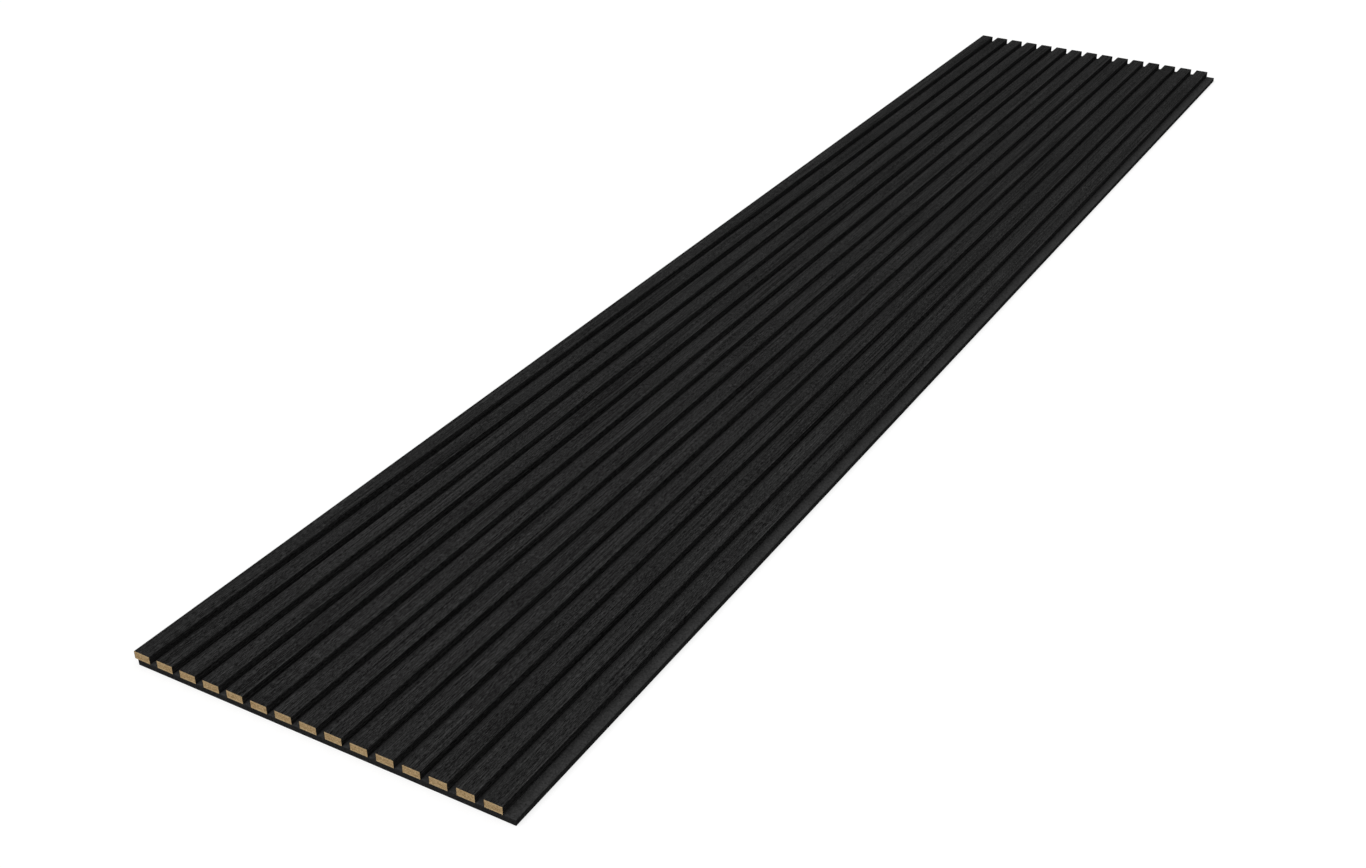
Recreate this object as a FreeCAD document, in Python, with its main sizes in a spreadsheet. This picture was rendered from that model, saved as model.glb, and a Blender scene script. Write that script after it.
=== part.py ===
import FreeCAD, Part
import enum
import math
import os

import Sketcher

# Acoustic slat wall panel: veneered MDF slats glued side by side to one board of felt.
# Millimetres. +Z points out of the wall, +Y runs along the slats and +X across them, towards the felt tongue.
# The origin is the bottom centre of the whole panel, on the back of the felt.
# The first slat overhangs the felt by the lap. The tongue is one gap and one lap wide, so that the next
# panel's first slat lands on it and the spacing carries on across the joint.

# Driving sizes. A slat's width and height are taken over its veneer.
SIZES = {
    "panel_length": 3000,
    "slat_count": 15,
    "slat_width": 27,
    "slat_gap": 13,
    "slat_height": 12,
    "core_arris_radius": 0.5,
    "veneer_thickness": 0.3,
    "felt_thickness": 9,
    "lap_overhang": 5,
}

# Sizes and places that follow from them
SLAT_PITCH = "(sizes.slat_width + sizes.slat_gap)"
FELT_WIDTH = f"(sizes.slat_count * {SLAT_PITCH})"
PANEL_WIDTH = f"(sizes.lap_overhang + {FELT_WIDTH})"
FIRST_SLAT_X = f"(sizes.slat_width - {PANEL_WIDTH}) / 2"
FELT_X = "sizes.lap_overhang / 2"
CORE_WIDTH = "sizes.slat_width - 2 * sizes.veneer_thickness"
CORE_HEIGHT = "sizes.slat_height - sizes.veneer_thickness"
VENEER_ARRIS_RADIUS = "sizes.core_arris_radius + sizes.veneer_thickness"

doc = FreeCAD.newDocument("acoustic_slat_panel")


# Numbers by which a constraint names an axis, and an end of a line or arc
class Axis(enum.IntEnum):
    HORIZONTAL = -1
    VERTICAL = -2


class End(enum.IntEnum):
    FIRST = 1
    LAST = 2


# Driving sheet
def make_sheet():
    """Writes each driving size into a cell whose alias is the size's name."""
    sheet = doc.addObject("Spreadsheet::Sheet", "sizes")
    for row, (name, value) in enumerate(SIZES.items(), start=1):
        sheet.set(f"A{row}", name)
        sheet.set(f"B{row}", str(value))
        sheet.setAlias(f"B{row}", name)
    doc.recompute()
    return sheet


# Bodies, sketches and their geometry
def new_body(label):
    """Adds an empty body whose label names the piece."""
    body = doc.addObject("PartDesign::Body", label)
    body.Label = label
    return body


def new_sketch(body, name, plane_role):
    """Adds a sketch on one of the body's own origin planes."""
    sketch = body.newObject("Sketcher::SketchObject", f"{body.Label}_{name}")
    plane = next(item for item in body.Origin.OriginFeatures if item.Role == plane_role)
    sketch.AttachmentSupport = [(plane, "")]
    sketch.MapMode = "FlatFace"
    return sketch


def add_line(sketch, start, end):
    """Adds a line between two points of the sketch plane, given as pairs."""
    return sketch.addGeometry(Part.LineSegment(FreeCAD.Vector(*start, 0), FreeCAD.Vector(*end, 0)))


def add_quarter(sketch, centre, radius, start_angle):
    """Adds a quarter circle that runs anticlockwise from an angle in degrees."""
    circle = Part.Circle(FreeCAD.Vector(*centre, 0), FreeCAD.Vector(0, 0, 1), radius)
    return sketch.addGeometry(
        Part.ArcOfCircle(circle, math.radians(start_angle), math.radians(start_angle + 90))
    )


def constrain(sketch, kind, *where):
    """Adds a constraint that holds no size."""
    sketch.addConstraint(Sketcher.Constraint(kind, *where))


def add_dimension(sketch, name, expression, kind, *where):
    """Adds a dimension that follows the sheet, and gives it a name."""
    value = float(sketch.evalExpression(expression))
    index = sketch.addConstraint(Sketcher.Constraint(kind, *where, value))
    sketch.renameConstraint(index, name)
    sketch.setExpression(f"Constraints.{name}", expression)


def add_pad(body, sketch, length, side_type):
    """Pads the sketch by a length that follows the sheet."""
    pad = body.newObject("PartDesign::Pad", f"{body.Label}_pad")
    pad.Profile = sketch
    pad.SideType = side_type
    pad.setExpression("Length", length)


# Slat profile
def add_arch(sketch, name, width, height, radius):
    """Draws an arch with two eased arrises, open along its foot, and returns its right and left side.

    The arch stands on the horizontal axis, evenly about the vertical one, and runs anticlockwise: its right
    side starts at the foot and its left side ends there.
    """
    half = float(sketch.evalExpression(width)) / 2
    top = float(sketch.evalExpression(height))
    ease = float(sketch.evalExpression(radius))

    right = add_line(sketch, (half, 0), (half, top - ease))
    right_arris = add_quarter(sketch, (half - ease, top - ease), ease, 0)
    face = add_line(sketch, (half - ease, top), (ease - half, top))
    left_arris = add_quarter(sketch, (ease - half, top - ease), ease, 90)
    left = add_line(sketch, (-half, top - ease), (-half, 0))

    constrain(sketch, "Tangent", right, End.LAST, right_arris, End.FIRST)
    constrain(sketch, "Tangent", right_arris, End.LAST, face, End.FIRST)
    constrain(sketch, "Tangent", face, End.LAST, left_arris, End.FIRST)
    constrain(sketch, "Tangent", left_arris, End.LAST, left, End.FIRST)
    constrain(sketch, "Vertical", right)
    constrain(sketch, "Vertical", left)
    constrain(sketch, "Horizontal", face)
    constrain(sketch, "Equal", right_arris, left_arris)
    constrain(sketch, "PointOnObject", right, End.FIRST, Axis.HORIZONTAL)
    constrain(sketch, "Symmetric", right, End.FIRST, left, End.LAST, Axis.VERTICAL)
    add_dimension(sketch, f"{name}_width", width, "DistanceX", left, End.LAST, right, End.FIRST)
    add_dimension(sketch, f"{name}_height", height, "DistanceY", right, End.FIRST, face, End.FIRST)
    add_dimension(sketch, f"{name}_radius", radius, "Radius", right_arris)
    return right, left


def close_foot(sketch, first, first_end, second, second_end):
    """Draws the straight line that joins two ends along the foot of the profile."""
    start = sketch.getPoint(first, first_end)
    end = sketch.getPoint(second, second_end)
    line = add_line(sketch, (start.x, start.y), (end.x, end.y))
    constrain(sketch, "Coincident", first, first_end, line, End.FIRST)
    constrain(sketch, "Coincident", line, End.LAST, second, second_end)


def add_core_arch(sketch):
    """Draws the arch along which core and veneer meet."""
    return add_arch(sketch, "core", CORE_WIDTH, CORE_HEIGHT, "sizes.core_arris_radius")


# Slat pieces
def place_slat(body, number):
    """Stands a slat piece on the felt, at its place in the row."""
    body.setExpression("Placement.Base.x", f"{FIRST_SLAT_X} + {number - 1} * {SLAT_PITCH}")
    body.setExpression("Placement.Base.z", "sizes.felt_thickness")


def make_core(number):
    """Makes one slat's MDF core, its upper arrises eased so that the veneer can wrap round them."""
    body = new_body(f"slat_core_{number:02d}")
    sketch = new_sketch(body, "profile", "XZ_Plane")
    right, left = add_core_arch(sketch)
    close_foot(sketch, left, End.LAST, right, End.FIRST)
    add_pad(body, sketch, "sizes.panel_length", "Symmetric")
    place_slat(body, number)
    return body


def make_veneer(number):
    """Makes one slat's veneer: a single skin of even thickness over one side, the face and the other side."""
    body = new_body(f"slat_veneer_{number:02d}")
    sketch = new_sketch(body, "profile", "XZ_Plane")
    outer_right, outer_left = add_arch(
        sketch, "veneer", "sizes.slat_width", "sizes.slat_height", VENEER_ARRIS_RADIUS
    )
    inner_right, inner_left = add_core_arch(sketch)
    close_foot(sketch, outer_left, End.LAST, inner_left, End.LAST)
    close_foot(sketch, inner_right, End.FIRST, outer_right, End.FIRST)
    add_pad(body, sketch, "sizes.panel_length", "Symmetric")
    place_slat(body, number)
    return body


# Felt backing board
def make_felt():
    """Makes the felt board, which carries every slat and reaches past the last one as the tongue."""
    body = new_body("felt_backing")
    sketch = new_sketch(body, "outline", "XY_Plane")
    half_width = float(sketch.evalExpression(FELT_WIDTH)) / 2
    half_length = float(sketch.evalExpression("sizes.panel_length")) / 2

    near = add_line(sketch, (-half_width, -half_length), (half_width, -half_length))
    right = add_line(sketch, (half_width, -half_length), (half_width, half_length))
    far = add_line(sketch, (half_width, half_length), (-half_width, half_length))
    left = add_line(sketch, (-half_width, half_length), (-half_width, -half_length))

    constrain(sketch, "Coincident", near, End.LAST, right, End.FIRST)
    constrain(sketch, "Coincident", right, End.LAST, far, End.FIRST)
    constrain(sketch, "Coincident", far, End.LAST, left, End.FIRST)
    constrain(sketch, "Coincident", left, End.LAST, near, End.FIRST)
    constrain(sketch, "Horizontal", near)
    constrain(sketch, "Horizontal", far)
    constrain(sketch, "Vertical", right)
    constrain(sketch, "Vertical", left)
    # The horizontal axis starts at the origin, and the two opposite corners lie evenly about it
    constrain(sketch, "Symmetric", near, End.FIRST, far, End.FIRST, Axis.HORIZONTAL, End.FIRST)
    add_dimension(sketch, "width", FELT_WIDTH, "DistanceX", near, End.FIRST, near, End.LAST)
    add_dimension(sketch, "length", "sizes.panel_length", "DistanceY", right, End.FIRST, right, End.LAST)

    add_pad(body, sketch, "sizes.felt_thickness", "One side")
    body.setExpression("Placement.Base.x", FELT_X)
    return body


# Checks and files
def check_model(pieces):
    """Stops if a recompute left any object failed, or if a piece's shape is empty or invalid."""
    for item in doc.Objects:
        if "Invalid" in item.State or "Error" in item.State:
            raise RuntimeError(f"{item.Label} failed: {item.State}")
    for piece in pieces:
        if piece.Shape.isNull() or not piece.Shape.isValid():
            raise RuntimeError(f"{piece.Label} has no valid shape")


def write_pieces(pieces):
    """Writes each piece to a file that has its name."""
    os.makedirs("parts", exist_ok=True)
    for piece in pieces:
        piece.Shape.exportStep(f"parts/{piece.Label}.step")
        print(f"{piece.Label}: {len(piece.Shape.Solids)} solid, {piece.Shape.Volume:.1f} mm3")


sizes = make_sheet()
bodies = [make_felt()]
for slat in range(1, int(sizes.slat_count) + 1):
    bodies.append(make_core(slat))
    bodies.append(make_veneer(slat))
doc.recompute()
check_model(bodies)
write_pieces(bodies)
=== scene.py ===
"""Acoustic slat wall panel: black veneered slats on black felt, laid flat and dressed for its picture.

Metres throughout. X runs across the slats towards the felt tongue, Y along them and Z out of the felt.
"""
import logging
import math
from dataclasses import dataclass, field
from enum import Enum
from itertools import pairwise

import bmesh
import bpy
from mathutils import Euler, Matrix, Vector, noise


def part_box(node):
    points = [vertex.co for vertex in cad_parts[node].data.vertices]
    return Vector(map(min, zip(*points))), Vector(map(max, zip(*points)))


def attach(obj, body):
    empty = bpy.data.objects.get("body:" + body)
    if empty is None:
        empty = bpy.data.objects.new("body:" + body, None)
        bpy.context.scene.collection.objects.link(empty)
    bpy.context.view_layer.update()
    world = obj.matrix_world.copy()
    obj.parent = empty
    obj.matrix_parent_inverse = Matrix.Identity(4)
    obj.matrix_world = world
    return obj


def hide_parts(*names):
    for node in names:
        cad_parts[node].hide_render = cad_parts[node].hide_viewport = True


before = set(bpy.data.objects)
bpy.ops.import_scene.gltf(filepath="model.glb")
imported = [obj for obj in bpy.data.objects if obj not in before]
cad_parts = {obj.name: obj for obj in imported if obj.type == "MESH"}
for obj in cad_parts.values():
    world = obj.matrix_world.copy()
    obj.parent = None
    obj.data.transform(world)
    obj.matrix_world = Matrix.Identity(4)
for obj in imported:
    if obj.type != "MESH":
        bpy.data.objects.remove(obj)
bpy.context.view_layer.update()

log = logging.getLogger("slat_panel")

MM = 0.001
BODY = "root"

# The sRGB curve: a straight line near black, and a power above it
LARGEST_LEVEL = 255
SRGB_LINE_END = 0.04045
SRGB_LINE_SLOPE = 12.92
SRGB_OFFSET = 0.055
SRGB_POWER = 2.4

# A node's output with its weight in a sum
Weighted = tuple[bpy.types.NodeSocket, float]


class Layer(Enum):
    """The two layers of a slat, by how the names of their nodes start."""

    CORE = "slat_core"
    VENEER = "slat_veneer"


class Channel(Enum):
    """Numbers of the sockets of a colour Mix node, whose names aren't unique."""

    FACTOR = 0
    FIRST = 6
    SECOND = 7
    RESULT = 2


# Helpers for objects
def put_in_scene(data: bpy.types.ID) -> bpy.types.Object:
    """Makes an object of a mesh, light or camera.

    Args:
        data: what the object holds, whose name it takes.

    Returns:
        The object, at the origin.
    """
    thing = bpy.data.objects.new(data.name, data)
    bpy.context.scene.collection.objects.link(thing)
    return thing


def in_order(shape: bmesh.types.BMesh) -> bmesh.types.BMesh:
    """Builds a shape again with its faces sorted, as solidify leaves them in another order in each run.

    Args:
        shape: the shape, which is freed.

    Returns:
        The same shape, its points in their old order and its faces in the order of their corners.
    """
    shape.verts.index_update()
    faces = sorted([vertex.index for vertex in face.verts] for face in shape.faces)
    ordered = bmesh.new()
    points = [ordered.verts.new(vertex.co) for vertex in shape.verts]
    for corners in faces:
        ordered.faces.new([points[index] for index in corners])
    shape.free()
    return ordered


def finish_shape(shape: bmesh.types.BMesh, name: str, material: bpy.types.Material) -> bpy.types.Object:
    """Makes an object of a finished shape.

    Args:
        shape: the shape, in its place, which is freed.
        name: the object's name.
        material: its finish.

    Returns:
        The object.
    """
    mesh = bpy.data.meshes.new(name)
    shape.to_mesh(mesh)
    shape.free()
    mesh.materials.append(material)
    return put_in_scene(mesh)


# Helpers for finishes
def linear(hex_colour: str) -> tuple[float, float, float, float]:
    """Turns an sRGB colour into a linear one.

    Args:
        hex_colour: six hex digits, with or without a leading mark.

    Returns:
        Red, green, blue and full opacity.
    """
    channels = []
    for level in bytes.fromhex(hex_colour.lstrip("#")):
        share = level / LARGEST_LEVEL
        if share <= SRGB_LINE_END:
            channels.append(share / SRGB_LINE_SLOPE)
        else:
            channels.append(((share + SRGB_OFFSET) / (1 + SRGB_OFFSET)) ** SRGB_POWER)
    return (*channels, 1.0)


def add_node(
    tree: bpy.types.NodeTree, kind: str, inputs: dict[str | int, object] | None = None, **settings: object
) -> bpy.types.Node:
    """Adds a node with its settings, its values and its links.

    Args:
        tree: the node tree that gets it.
        kind: the node type's own name.
        inputs: for an input's name or number, either a value or the output that feeds it.
        **settings: properties of the node.

    Returns:
        The new node.
    """
    node = tree.nodes.new(kind)
    for name, value in settings.items():
        setattr(node, name, value)
    for key, value in (inputs or {}).items():
        if isinstance(value, bpy.types.NodeSocket):
            tree.links.new(value, node.inputs[key])
        else:
            node.inputs[key].default_value = value
    return node


def new_material(name: str) -> bpy.types.Material:
    """Makes a material with an empty node tree.

    Args:
        name: the finish's name.

    Returns:
        The material.
    """
    material = bpy.data.materials.new(name)
    material.use_nodes = True
    material.node_tree.nodes.clear()
    return material


def per_metre(size: tuple[float, ...]) -> list[float]:
    """Works out how many patches of a pattern fill a metre each way.

    Args:
        size: the patch along X and Y, and along Z too where the pattern fills a solid.

    Returns:
        The numbers along X, Y and Z, where a flat pattern's Z stays in metres.
    """
    counts = [1 / length for length in size]
    return counts + [1.0] * (3 - len(counts))


def add_up(
    tree: bpy.types.NodeTree, base: float | bpy.types.NodeSocket, parts: list[Weighted]
) -> bpy.types.NodeSocket:
    """Adds weighted outputs to a base.

    Args:
        tree: the node tree that gets the sum.
        base: the number or output that the others are added to.
        parts: each of the others with its weight.

    Returns:
        The sum.
    """
    total = base
    for value, weight in parts:
        step = add_node(tree, "ShaderNodeMath", {0: value, 1: weight, 2: total}, operation="MULTIPLY_ADD")
        total = step.outputs["Value"]
    return total


def vary(tree: bpy.types.NodeTree, middle: float, parts: list[Weighted]) -> bpy.types.NodeSocket:
    """Varies a value by weighted noises, which swing about 0.5, so that its middle stays what it was.

    Args:
        tree: the node tree that varies it.
        middle: the value.
        parts: each noise with its weight.

    Returns:
        The varied value.
    """
    return add_up(tree, middle - sum(weight for _, weight in parts) / 2, parts)


@dataclass(frozen=True)
class Grain:
    """A noise whose patches have a real size, and how far it moves a finish's tone.

    The size is along X and Y on a sheet, and along X, Y and Z in a solid. An endless size makes bands that
    never change that way.
    """

    size: tuple[float, ...]
    share: float = 0.0
    detail: float = 1.0
    roughness: float = 0.5
    distortion: float = 0.0

    def add(self, tree: bpy.types.NodeTree, place: bpy.types.NodeSocket) -> bpy.types.NodeSocket:
        """Adds the noise.

        Args:
            tree: the node tree that gets it.
            place: the coordinates that it reads.

        Returns:
            The noise, from 0 to 1 about a middle of 0.5.
        """
        patches = add_node(tree, "ShaderNodeMapping", {"Vector": place, "Scale": per_metre(self.size)})
        noise_node = add_node(
            tree,
            "ShaderNodeTexNoise",
            {
                "Vector": patches.outputs["Vector"],
                "Scale": 1.0,
                "Detail": self.detail,
                "Roughness": self.roughness,
                "Distortion": self.distortion,
            },
            noise_dimensions=f"{len(self.size)}D",
        )
        return noise_node.outputs["Fac"]


# Finishes
@dataclass(frozen=True, kw_only=True)
class MattFinish:
    """What the panel's three stuffs share: a tone between two colours, a fine relief and hardly a gloss."""

    name: str
    dark: str
    light: str
    # Place between the dark and the light colour, about which the patterns swing
    middle_tone: float
    # Roughness where the tone is darkest, and how much smoother the surface is where it is lightest
    roughness: float
    smoothing: float
    specular: float
    relief_depth: float

    def build(self) -> bpy.types.Material:
        """Makes the material.

        Returns:
            The material.
        """
        material = new_material(self.name)
        tree = material.node_tree
        place = add_node(tree, "ShaderNodeTexCoord").outputs["Object"]
        tone, height = self.lay_out(tree, place)
        colour = add_node(
            tree,
            "ShaderNodeMix",
            {
                Channel.FACTOR.value: tone,
                Channel.FIRST.value: linear(self.dark),
                Channel.SECOND.value: linear(self.light),
            },
            data_type="RGBA",
        )
        roughness = add_up(tree, self.roughness, [(tone, -self.smoothing)])
        relief = add_node(
            tree, "ShaderNodeBump", {"Height": height, "Distance": self.relief_depth, "Strength": 1.0}
        )
        shader = add_node(
            tree,
            "ShaderNodeBsdfPrincipled",
            {
                "Base Color": colour.outputs[Channel.RESULT.value],
                "Roughness": roughness,
                "Specular IOR Level": self.specular,
                "Normal": relief.outputs["Normal"],
            },
        )
        add_node(tree, "ShaderNodeOutputMaterial", {"Surface": shader.outputs["BSDF"]})
        return material

    def lay_out(
        self, tree: bpy.types.NodeTree, place: bpy.types.NodeSocket
    ) -> tuple[bpy.types.NodeSocket, bpy.types.NodeSocket]:
        """Lays out the stuff's own pattern, which each finish has for itself.

        Args:
            tree: the material's node tree.
            place: the object's coordinates.

        Returns:
            The tone, 0 for the dark colour and 1 for the light one, and the height of the surface.
        """
        raise NotImplementedError


@dataclass(frozen=True, kw_only=True)
class StainedOakVeneer(MattFinish):
    """Oak veneer, sliced thin, stained black right through and sealed with a dead-matt lacquer.

    To the eye it is charcoal with no gloss. Straight growth rings, cut lengthwise, give fine streaks,
    lighter and darker, and broader bands that run from end to end. The open pores of the early wood are
    dark dashes along them, thick in some stretches and thin in others. Each slat's strip comes from another
    leaf, a shade lighter or darker.
    """

    first_slat_x: float
    slat_pitch: float
    slat_width: float
    name: str = "black_stained_oak_veneer"
    dark: str = "#0B0B0B"
    light: str = "#484848"
    middle_tone: float = 0.26
    roughness: float = 0.9
    smoothing: float = 0.25
    specular: float = 0.0
    relief_depth: float = 0.04 * MM
    # How far apart in the wood the slats' strips are cut, and how far their shades differ
    leaf_spread: float = 20.0
    leaf_share: float = 0.07
    # How far the grain drifts sideways, and over what stretches
    drift: float = 0.5 * MM
    wander: Grain = Grain((60 * MM, 700 * MM))
    rings: Grain = Grain((1 * MM, 300 * MM), share=1.3, detail=2.0, roughness=0.7)
    ring_height: float = 0.3
    bands: Grain = Grain((4.5 * MM, math.inf), share=0.3)
    fibre_bundles: Grain = Grain((2.2 * MM, 45 * MM), share=0.25)
    # Real fibres are finer, and these are drawn wide enough to show from this far
    flecks: Grain = Grain((0.4 * MM, 7 * MM), share=2.3, detail=3.0, roughness=0.65)
    # One pore lies in each cell. Real ones are 0.3 mm wide and lie closer; these show from this far
    pore_cell: tuple[float, float] = (1.1 * MM, 22 * MM)
    pore_scatter: float = 0.75
    # Distance from a pore's point, in cells, at which its dash ends and at which it is darkest
    pore_ramp: tuple[float, float] = (0.42, 0.2)
    pore_share: float = 0.45
    # Part of the early wood that its pores cover
    pore_cover: float = 0.3
    # Early wood lies where both of these noises are high, and sets in between the values of each ramp
    growth: Grain = Grain((3.4 * MM, 600 * MM))
    growth_ramp: tuple[float, float] = (0.42, 0.56)
    patches: Grain = Grain((14 * MM, 170 * MM))
    patch_ramp: tuple[float, float] = (0.35, 0.6)

    def lay_out(
        self, tree: bpy.types.NodeTree, place: bpy.types.NodeSocket
    ) -> tuple[bpy.types.NodeSocket, bpy.types.NodeSocket]:
        """Lays out the grain of the wood, another piece of it on each slat.

        Args:
            tree: the veneer's node tree.
            place: the object's coordinates.

        Returns:
            The tone and the height.
        """
        leaf = self.leaf(tree, place)
        wood = self.place_in_wood(tree, place, leaf)
        rings = self.rings.add(tree, wood)
        early_wood = self.early_wood(tree, wood)
        pores = self.pores(tree, wood, early_wood)
        parts = [(leaf.outputs["Value"], self.leaf_share), (rings, self.rings.share)]
        for grain in (self.bands, self.fibre_bundles, self.flecks):
            parts.append((grain.add(tree, wood), grain.share))
        streaks = vary(tree, self.middle_tone, parts)
        # Between its pores early wood is paler, so that on the whole it is no darker than the rest
        paler = self.pore_share * self.pore_cover
        tone = add_up(tree, streaks, [(pores, -self.pore_share), (early_wood, paler)])
        height = add_up(tree, 0.0, [(rings, self.ring_height), (pores, -1.0)])
        return tone, height

    def leaf(self, tree: bpy.types.NodeTree, place: bpy.types.NodeSocket) -> bpy.types.Node:
        """Adds the random numbers that belong to a slat, the same all over it.

        Args:
            tree: the veneer's node tree.
            place: the object's coordinates.

        Returns:
            A White Noise node that reads the slat's number.
        """
        half_gap = (self.slat_pitch - self.slat_width) / 2
        start = (half_gap - self.first_slat_x) / self.slat_pitch
        across = add_node(tree, "ShaderNodeSeparateXYZ", {"Vector": place}).outputs["X"]
        count = add_up(tree, start, [(across, 1 / self.slat_pitch)])
        number = add_node(tree, "ShaderNodeMath", {0: count}, operation="FLOOR").outputs["Value"]
        return add_node(tree, "ShaderNodeTexWhiteNoise", {"W": number}, noise_dimensions="1D")

    def place_in_wood(
        self, tree: bpy.types.NodeTree, place: bpy.types.NodeSocket, leaf: bpy.types.Node
    ) -> bpy.types.NodeSocket:
        """Lays the wrap out flat, as the sheet of wood that it was, its grain drifting gently sideways.

        The grain runs on over the arris and down the slat's side, so a point's place across the sheet is
        how far along X it lies and how far down.

        Args:
            tree: the veneer's node tree.
            place: the object's coordinates.
            leaf: the slat's random numbers, which say where in the wood its strip was cut.

        Returns:
            The coordinates that the grain reads.
        """
        point = add_node(tree, "ShaderNodeSeparateXYZ", {"Vector": place}).outputs
        across = add_node(tree, "ShaderNodeMath", {0: point["X"], 1: point["Z"]}, operation="SUBTRACT")
        sheet = add_node(tree, "ShaderNodeCombineXYZ", {"X": across.outputs["Value"], "Y": point["Y"]})
        strip = add_node(
            tree,
            "ShaderNodeVectorMath",
            {0: leaf.outputs["Color"], 1: (self.leaf_spread,) * 3, 2: sheet.outputs["Vector"]},
            operation="MULTIPLY_ADD",
        ).outputs["Vector"]
        drifted = add_node(
            tree,
            "ShaderNodeVectorMath",
            {0: self.wander.add(tree, strip), 1: (self.drift, 0.0, 0.0), 2: strip},
            operation="MULTIPLY_ADD",
        )
        return drifted.outputs["Vector"]

    def early_wood(self, tree: bpy.types.NodeTree, wood: bpy.types.NodeSocket) -> bpy.types.NodeSocket:
        """Adds the stretches of early wood, the only wood that has open pores.

        Args:
            tree: the veneer's node tree.
            wood: the coordinates of the grain.

        Returns:
            1 in early wood, 0 in the rest.
        """
        # The second range reaches up to the first one's result, so it is high only where both are
        most = 1.0
        for grain, (start, end) in ((self.growth, self.growth_ramp), (self.patches, self.patch_ramp)):
            stretches = add_node(
                tree,
                "ShaderNodeMapRange",
                {"Value": grain.add(tree, wood), "From Min": start, "From Max": end, "To Max": most},
            )
            most = stretches.outputs["Result"]
        return most

    def pores(
        self, tree: bpy.types.NodeTree, wood: bpy.types.NodeSocket, early_wood: bpy.types.NodeSocket
    ) -> bpy.types.NodeSocket:
        """Adds the open pores, dashes that lie in line along the grain.

        Args:
            tree: the veneer's node tree.
            wood: the coordinates of the grain.
            early_wood: where pores lie.

        Returns:
            1 in a pore's middle, 0 between pores and outside the early wood.
        """
        scale = per_metre(self.pore_cell)
        sheet = add_node(tree, "ShaderNodeMapping", {"Vector": wood, "Scale": scale}).outputs["Vector"]
        cells = add_node(
            tree,
            "ShaderNodeTexVoronoi",
            {"Vector": sheet, "Scale": 1.0, "Randomness": self.pore_scatter},
            voronoi_dimensions="2D",
        )
        rim, middle = self.pore_ramp
        dashes = add_node(
            tree,
            "ShaderNodeMapRange",
            {
                "Value": cells.outputs["Distance"],
                "From Min": rim,
                "From Max": middle,
                "To Max": early_wood,
            },
        )
        return dashes.outputs["Result"]


@dataclass(frozen=True, kw_only=True)
class SawnFibreboard(MattFinish):
    """Medium-density fibreboard, sawn square to length.

    To the eye the cut end is a dry tan with fine lighter and darker flecks of pressed fibre, drawn out
    level with the faces. Next to both faces, where the board is densest, it is a shade paler.
    """

    bottom: float
    top: float
    name: str = "sawn_fibreboard"
    dark: str = "#AE8757"
    light: str = "#FFE0AC"
    middle_tone: float = 0.48
    roughness: float = 1.0
    smoothing: float = 0.2
    specular: float = 0.1
    relief_depth: float = 0.05 * MM
    # The real flecks are half as large; these still show from the picture's distance
    flecks: Grain = Grain((2.6 * MM, 2.6 * MM, 1.2 * MM), share=2.0, detail=2.0)
    clouds: Grain = Grain((9 * MM, 9 * MM, 4 * MM), share=0.5)
    fibres: Grain = Grain((0.9 * MM, 0.9 * MM, 0.2 * MM), share=0.6, detail=2.0)
    # Part of the board's thickness that each dense layer takes, and how far it moves the tone
    dense_layer: float = 0.25
    dense_share: float = 0.28

    def lay_out(
        self, tree: bpy.types.NodeTree, place: bpy.types.NodeSocket
    ) -> tuple[bpy.types.NodeSocket, bpy.types.NodeSocket]:
        """Lays out the pressed fibres and the dense layers.

        Args:
            tree: the board's node tree.
            place: the object's coordinates.

        Returns:
            The tone and the height.
        """
        fibres = self.fibres.add(tree, place)
        parts = [(grain.add(tree, place), grain.share) for grain in (self.flecks, self.clouds)]
        parts.append((fibres, self.fibres.share))
        mottle = vary(tree, self.middle_tone, parts)
        tone = add_up(tree, mottle, [(self.dense_faces(tree, place), self.dense_share)])
        return tone, fibres

    def dense_faces(self, tree: bpy.types.NodeTree, place: bpy.types.NodeSocket) -> bpy.types.NodeSocket:
        """Adds the dense layers: 1 at the board's two faces, 0 in its middle.

        Args:
            tree: the board's node tree.
            place: the object's coordinates.

        Returns:
            The density.
        """
        middle = (self.bottom + self.top) / 2
        half = (self.top - self.bottom) / 2
        height = add_node(tree, "ShaderNodeSeparateXYZ", {"Vector": place}).outputs["Z"]
        offset = add_up(tree, -middle / half, [(height, 1 / half)])
        distance = add_node(tree, "ShaderNodeMath", {0: offset}, operation="ABSOLUTE").outputs["Value"]
        density = add_node(
            tree,
            "ShaderNodeMapRange",
            {"Value": distance, "From Min": 1 - self.dense_layer * 2, "From Max": 1.0},
        )
        return density.outputs["Result"]


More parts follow.
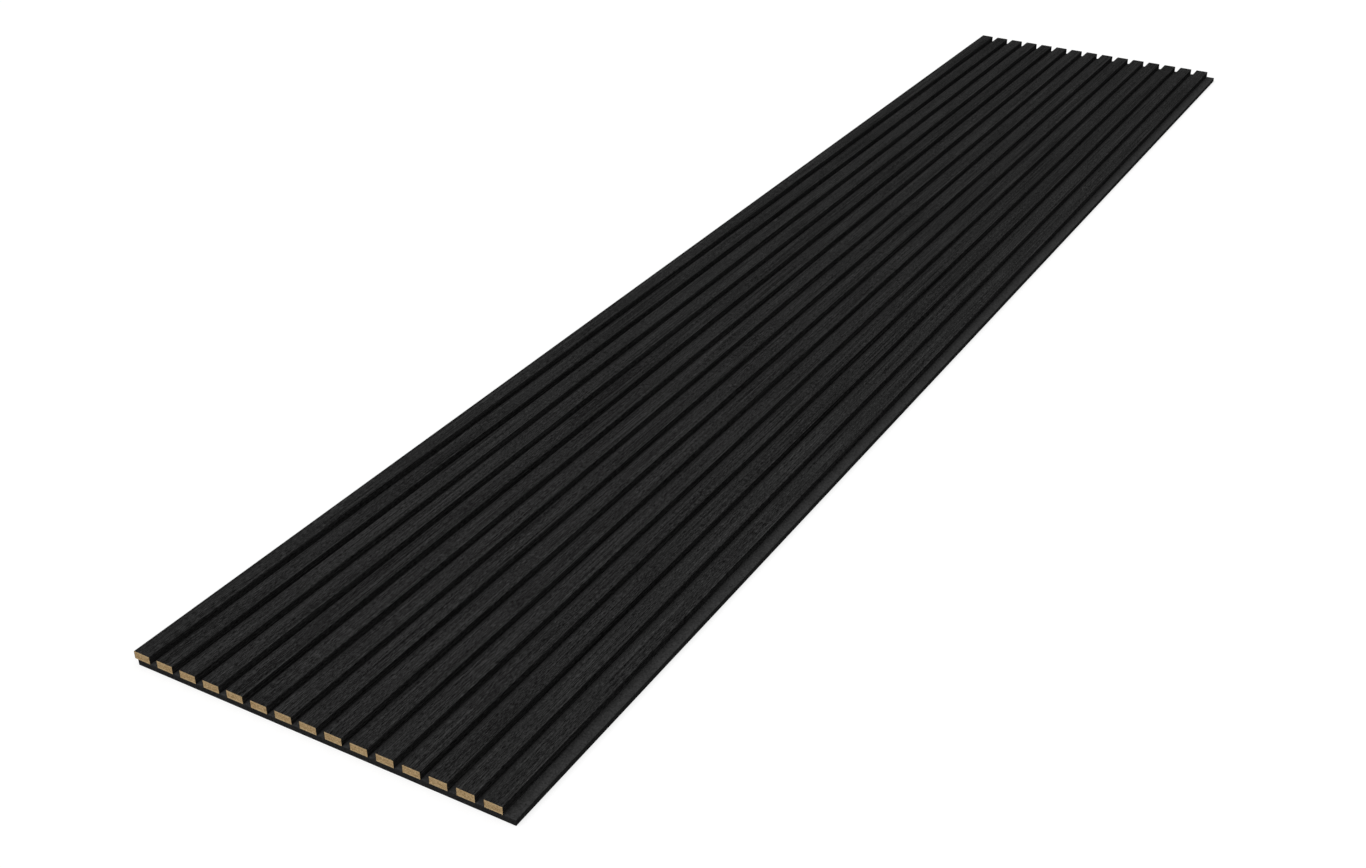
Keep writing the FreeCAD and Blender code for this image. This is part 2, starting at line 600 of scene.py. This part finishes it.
@dataclass(frozen=True, kw_only=True)
class NeedledFelt(MattFinish):
    """Polyester fibre, dyed black, needled and hot-pressed into a stiff board.

    To the eye it is a dull charcoal, a shade lighter than the slats, with a tangle of fine fibres, soft
    tufts and faint clouds, and no gloss.
    """

    name: str = "needled_polyester_felt"
    dark: str = "#1A1A1A"
    light: str = "#464646"
    middle_tone: float = 0.47
    roughness: float = 1.0
    smoothing: float = 0.1
    specular: float = 0.0
    relief_depth: float = 0.15 * MM
    # Single fibres are 0.03 mm thick, so they are drawn as strands of several
    strands: Grain = Grain(
        (0.5 * MM, 0.5 * MM, 0.5 * MM), share=1.2, detail=3.0, roughness=0.7, distortion=1.6
    )
    tufts: Grain = Grain((2.6 * MM, 2.6 * MM, 2.6 * MM), share=1.2, detail=2.0, distortion=0.6)
    tuft_height: float = 0.6
    clouds: Grain = Grain((26 * MM, 26 * MM, 26 * MM), share=0.2, detail=2.0)

    def lay_out(
        self, tree: bpy.types.NodeTree, place: bpy.types.NodeSocket
    ) -> tuple[bpy.types.NodeSocket, bpy.types.NodeSocket]:
        """Lays out the tangle of fibres.

        Args:
            tree: the felt's node tree.
            place: the object's coordinates.

        Returns:
            The tone and the height.
        """
        strands = self.strands.add(tree, place)
        tufts = self.tufts.add(tree, place)
        parts = [
            (strands, self.strands.share),
            (tufts, self.tufts.share),
            (self.clouds.add(tree, place), self.clouds.share),
        ]
        tone = vary(tree, self.middle_tone, parts)
        height = add_up(tree, 0.0, [(strands, 1.0), (tufts, self.tuft_height)])
        return tone, height


@dataclass(frozen=True)
class SeamlessPaper:
    """White background paper.

    The camera sees it pure white, with a light soft shadow where the panel lies on it. To light on its way
    to the panel it is dark, so that the panel's edges aren't lit from below.
    """

    name: str = "seamless_white_paper"
    seen: str = "#FFFFFF"
    unseen: str = "#1E1E1E"
    shadow_share: float = 0.3
    # A little more than white in all, so that the open floor doesn't fall short of it
    glow_share: float = 0.73

    def build(self) -> bpy.types.Material:
        """Makes the material.

        Returns:
            The material.
        """
        material = new_material(self.name)
        tree = material.node_tree
        seen_matt = add_node(tree, "ShaderNodeBsdfDiffuse", {"Color": linear(self.seen)})
        glow = add_node(
            tree, "ShaderNodeEmission", {"Color": linear(self.seen), "Strength": self.glow_share}
        )
        dark = add_node(tree, "ShaderNodeBsdfDiffuse", {"Color": linear(self.unseen)})
        nothing = add_node(tree, "ShaderNodeBsdfDiffuse", {"Color": (0.0, 0.0, 0.0, 1.0)})
        shadowed = add_node(
            tree,
            "ShaderNodeMixShader",
            {0: self.shadow_share, 1: nothing.outputs["BSDF"], 2: seen_matt.outputs["BSDF"]},
        )
        paper = add_node(
            tree, "ShaderNodeAddShader", {0: shadowed.outputs["Shader"], 1: glow.outputs["Emission"]}
        )
        choice = add_node(
            tree,
            "ShaderNodeMixShader",
            {0: seen_directly(tree), 1: dark.outputs["BSDF"], 2: paper.outputs["Shader"]},
        )
        add_node(tree, "ShaderNodeOutputMaterial", {"Surface": choice.outputs["Shader"]})
        return material


def seen_directly(tree: bpy.types.NodeTree) -> bpy.types.NodeSocket:
    """Tells what is seen, also in a mirror or through glass, from what only lights the panel.

    Args:
        tree: the node tree that asks.

    Returns:
        1 for a ray from the camera, a reflection or a pane, and 0 for any other.
    """
    path = add_node(tree, "ShaderNodeLightPath")
    either = add_node(
        tree,
        "ShaderNodeMath",
        {0: path.outputs["Is Camera Ray"], 1: path.outputs["Is Glossy Ray"]},
        operation="MAXIMUM",
    )
    any_of_them = add_node(
        tree,
        "ShaderNodeMath",
        {0: either.outputs["Value"], 1: path.outputs["Is Transmission Ray"]},
        operation="MAXIMUM",
    )
    return any_of_them.outputs["Value"]


# Sub-assemblies
def nodes_of(layer: Layer) -> list[str]:
    """Names the frame's nodes of one layer of the slats, in their order across the panel."""
    return sorted(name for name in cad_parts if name.startswith(layer.value))


@dataclass
class SlatRow:
    """The slats: fibreboard cores, each in its wrap of veneer, as the frame holds them."""

    veneers: list[str] = field(default_factory=lambda: nodes_of(Layer.VENEER))
    cores: list[str] = field(default_factory=lambda: nodes_of(Layer.CORE))

    def boxes(self) -> list[tuple[Vector, Vector]]:
        """Gives each slat's lowest and highest corner, over its veneer."""
        return [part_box(name) for name in self.veneers]

    def dress(self) -> list[bpy.types.Object]:
        """Gives the veneers and the cores their finishes.

        Returns:
            The dressed pieces.
        """
        first, second = self.boxes()[:2]
        left, right = first[0].x, first[1].x
        veneer = StainedOakVeneer(
            first_slat_x=left, slat_pitch=second[0].x - left, slat_width=right - left
        ).build()
        low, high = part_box(self.cores[0])
        fibreboard = SawnFibreboard(bottom=low.z, top=high.z).build()
        pieces = []
        for names, finish in ((self.cores, fibreboard), (self.veneers, veneer)):
            for name in names:
                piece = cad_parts[name]
                piece.material_slots[0].material = finish
                pieces.append(piece)
        return pieces


@dataclass
class FeltBoard:
    """The felt board that carries the slats and reaches past the last one as the tongue.

    Its cut edges are eased and waver a little, and its face swells slightly in each gap between two slats,
    where nothing holds it down.
    """

    slats: list[tuple[Vector, Vector]]
    name: str = "felt_board"
    # The node that it replaces, and the record's name of its finish
    node: str = "felt_backing"
    slot: str = "felt"
    cell_across: float = 4 * MM
    cell_along: float = 15 * MM
    edge_rows: int = 3
    edge_ease: float = 0.3 * MM
    ease_segments: int = 2
    # Two sides that turn by more than this many degrees meet in a sharp edge
    sharp_turn: float = 60.0
    # A point whose normal leans sideways by more than this share lies on a cut edge
    side_lean: float = 0.5
    swell: float = 0.3 * MM
    face_waver: float = 0.12 * MM
    edge_waver: float = 0.12 * MM
    waver_size: float = 18 * MM

    def columns(self) -> list[float]:
        """Works out where the board is divided across, with a line at each side of every slat.

        Returns:
            The places of the dividing lines along X, from the board's left edge to its right one.
        """
        low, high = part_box(self.node)
        sides = [x for slat_low, slat_high in self.slats for x in (slat_low.x, slat_high.x)]
        stops = [low.x, *(x for x in sides if x > low.x), high.x]
        places = [low.x]
        for start, end in pairwise(stops):
            steps = math.ceil((end - start) / self.cell_across)
            places += [start + (end - start) * step / steps for step in range(1, steps + 1)]
        return places

    def build(self) -> bpy.types.Object:
        """Makes the board and puts it in the frame.

        Returns:
            The board's object.
        """
        low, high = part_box(self.node)
        board = bmesh.new()
        self.lay_sheet(board, low, high)
        bmesh.ops.solidify(board, geom=board.faces[:], thickness=high.z - low.z)
        board = in_order(board)
        self.divide_edges(board)
        self.ease_edges(board)
        self.waver(board, high.z)
        bmesh.ops.recalc_face_normals(board, faces=board.faces[:])
        piece = finish_shape(board, self.name, NeedledFelt().build())
        piece.data.shade_smooth()
        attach(piece, BODY)
        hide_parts(self.node)
        return piece

    def lay_sheet(self, board: bmesh.types.BMesh, low: Vector, high: Vector) -> None:
        """Lays a flat sheet at the height of the board's face and draws its columns to their places.

        Args:
            board: the empty mesh.
            low: the board's lowest corner.
            high: the board's highest corner.
        """
        places = self.columns()
        rows = round((high.y - low.y) / self.cell_along)
        # The grid starts as a square of side 1 about the origin
        half = 0.5
        bmesh.ops.create_grid(board, x_segments=len(places) - 1, y_segments=rows, size=half)
        for vertex in board.verts:
            column = round((vertex.co.x + half) * (len(places) - 1))
            vertex.co.x = places[column]
            vertex.co.y = low.y + (vertex.co.y + half) * (high.y - low.y)
            vertex.co.z = high.z

    def divide_edges(self, board: bmesh.types.BMesh) -> None:
        """Divides the cut edges into rows, so that they can waver between the two faces.

        Args:
            board: the solid board, one face high at its cut edges.
        """
        uprights = []
        for edge in board.edges:
            start, end = edge.verts
            if abs(end.co.z - start.co.z) > self.edge_ease:
                uprights.append(edge)
        bmesh.ops.subdivide_edges(board, edges=uprights, cuts=self.edge_rows, use_grid_fill=True)

    def ease_edges(self, board: bmesh.types.BMesh) -> None:
        """Rounds off every edge where two sides of the board meet.

        Args:
            board: the solid board, its edges still sharp.
        """
        board.normal_update()
        limit = math.radians(self.sharp_turn)
        sharp = [edge for edge in board.edges if edge.calc_face_angle(0.0) > limit]
        bmesh.ops.bevel(
            board,
            geom=sharp,
            offset=self.edge_ease,
            segments=self.ease_segments,
            profile=0.5,
            affect="EDGES",
            material=-1,
        )

    def waver(self, board: bmesh.types.BMesh, top: float) -> None:
        """Moves the surface by small amounts: the face outwards in the gaps, the cut edges inwards.

        Args:
            board: the finished solid board.
            top: the height of its face.
        """
        board.normal_update()
        for vertex in board.verts:
            lift = noise.noise(vertex.co / self.waver_size)
            # Only the face itself, without its eased edges
            if vertex.co.z > top - self.edge_ease / 2:
                vertex.co.z += self.rise(vertex.co.x, lift)
            if max(abs(vertex.normal.x), abs(vertex.normal.y)) > self.side_lean:
                vertex.co -= vertex.normal * self.edge_waver * (1 + lift) / 2

    def rise(self, place: float, lift: float) -> float:
        """Works out how far the face rises at a point: it swells in a gap and wavers on the tongue.

        Args:
            place: where the point lies along X.
            lift: the waver there, from -1 to 1.

        Returns:
            The rise, which is none under a slat.
        """
        for left, right in pairwise(self.slats):
            start, end = left[1].x, right[0].x
            if start < place < end:
                across = math.sin(math.pi * (place - start) / (end - start))
                return across * (self.swell + lift * self.face_waver)
        if place > self.slats[-1][1].x:
            return lift * self.face_waver
        return 0.0


@dataclass
class Studio:
    """White surroundings: a floor of seamless paper, a sky that is brightest overhead, and a soft lamp.

    The angles are in degrees. The lamp's elevation is above the floor and its side angle is measured from
    the slats' direction, to the side where the first slat lies.
    """

    floor_size: float = 24.0
    sky_colour: str = "#FFFFFF"
    zenith_strength: float = 1.054
    sky_falloff: float = 0.812
    key_strength: float = 1.055
    key_elevation: float = 49.6
    key_side: float = 36.5
    key_spread: float = 43.8

    def build(self) -> None:
        """Makes the floor, the sky and the light."""
        self.lay_floor()
        self.light_sky()
        self.hang_key()
        bpy.context.scene.view_settings.view_transform = "Standard"

    def lay_floor(self) -> None:
        """Lays the paper under the panel."""
        sheet = bmesh.new()
        bmesh.ops.create_grid(sheet, x_segments=1, y_segments=1, size=self.floor_size / 2)
        finish_shape(sheet, "floor", SeamlessPaper().build())

    def light_sky(self) -> None:
        """Lights the panel from all round, most of all from above, and shows white where it is seen."""
        world = bpy.data.worlds.new("white_surroundings")
        world.use_nodes = True
        tree = world.node_tree
        tree.nodes.clear()
        white = linear(self.sky_colour)
        direction = add_node(tree, "ShaderNodeTexCoord").outputs["Generated"]
        height = add_node(tree, "ShaderNodeSeparateXYZ", {"Vector": direction}).outputs["Z"]
        above = add_node(tree, "ShaderNodeMath", {0: height, 1: 0.0}, operation="MAXIMUM")
        falloff = add_node(
            tree, "ShaderNodeMath", {0: above.outputs["Value"], 1: self.sky_falloff}, operation="POWER"
        )
        strength = add_node(
            tree,
            "ShaderNodeMath",
            {0: falloff.outputs["Value"], 1: self.zenith_strength},
            operation="MULTIPLY",
        )
        light = add_node(
            tree, "ShaderNodeBackground", {"Color": white, "Strength": strength.outputs["Value"]}
        )
        seen = add_node(tree, "ShaderNodeBackground", {"Color": white, "Strength": 1.0})
        choice = add_node(
            tree,
            "ShaderNodeMixShader",
            {0: seen_directly(tree), 1: light.outputs["Background"], 2: seen.outputs["Background"]},
        )
        add_node(tree, "ShaderNodeOutputWorld", {"Surface": choice.outputs["Shader"]})
        bpy.context.scene.world = world

    def hang_key(self) -> None:
        """Hangs the soft lamp beyond the near end, to the first slat's side."""
        key = bpy.data.lights.new("key_light", "SUN")
        key.energy = self.key_strength
        key.angle = math.radians(self.key_spread)
        tilt = math.radians(90 - self.key_elevation)
        put_in_scene(key).rotation_euler = Euler((tilt, 0.0, -math.radians(self.key_side)))


@dataclass
class CatalogueView:
    """The picture's camera: over the tongue side of the near end, looking along the slats and down.

    The angles are in degrees, and the lens and sensor are in millimetres, as the camera holds them.
    """

    eye: tuple[float, float, float] = (1.2126, -2.6891, 1.4081)
    turn: float = 30.0
    look_down: float = 30.621
    focal_length: float = 45.281
    sensor_width: float = 36.0
    nearest: float = 0.05
    farthest: float = 100.0

    def build(self) -> None:
        """Makes the camera and sets the scene to look through it."""
        lens = bpy.data.cameras.new("catalogue_view")
        lens.lens = self.focal_length
        lens.sensor_width = self.sensor_width
        lens.clip_start = self.nearest
        lens.clip_end = self.farthest
        camera = put_in_scene(lens)
        camera.location = self.eye
        camera.rotation_euler = Euler((math.radians(90 - self.look_down), 0.0, math.radians(self.turn)))
        bpy.context.scene.camera = camera


def main() -> None:
    """Builds the camera, the panel and its surroundings in that order, and reports each piece."""
    logging.basicConfig(level=logging.INFO, format="%(message)s")
    CatalogueView().build()
    slats = SlatRow()
    pieces = slats.dress()
    pieces.append(FeltBoard(slats=slats.boxes()).build())
    for piece in pieces:
        log.info("%s: %d faces, %s", piece.name, len(piece.data.polygons), piece.material_slots[0].name)
    Studio().build()


if __name__ == "__main__":
    main()
